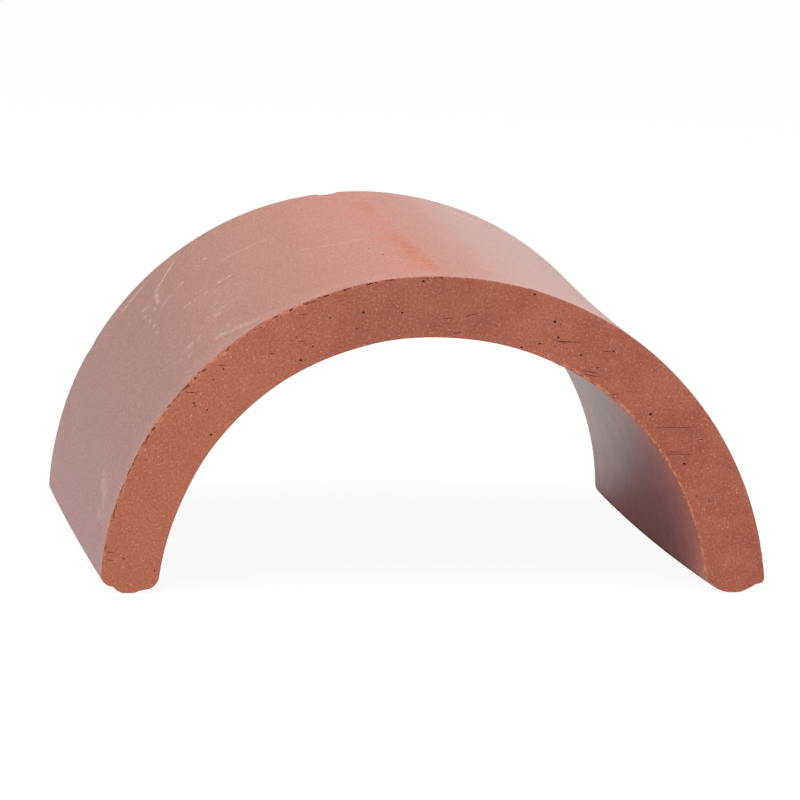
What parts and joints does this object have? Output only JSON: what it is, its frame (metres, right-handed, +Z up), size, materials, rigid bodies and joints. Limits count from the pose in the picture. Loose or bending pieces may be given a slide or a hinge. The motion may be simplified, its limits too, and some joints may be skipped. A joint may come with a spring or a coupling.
{
  "type": "half-round clay roof tile",
  "caption": "Half-round arch of fired clay with an even thick wall, wire-cut ends and rounded feet; covers a roof ridge, a hip or the joint between two rows of channel tiles.",
  "frame": {"origin": "on the floor, midway between the two feet and midway along the tile's length", "axes": "+X across the arch, +Y along the tile from the front cut end to the back one, +Z up to the crown"},
  "size_m": [0.2, 0.18, 0.1016],
  "materials": {
    "clay": "unglazed fired clay, matt orange-red cut ends and a smooth satin mauve-pink skin"
  },
  "bodies": {
    "root": {"tile": "clay"}
  },
  "joints": []
}
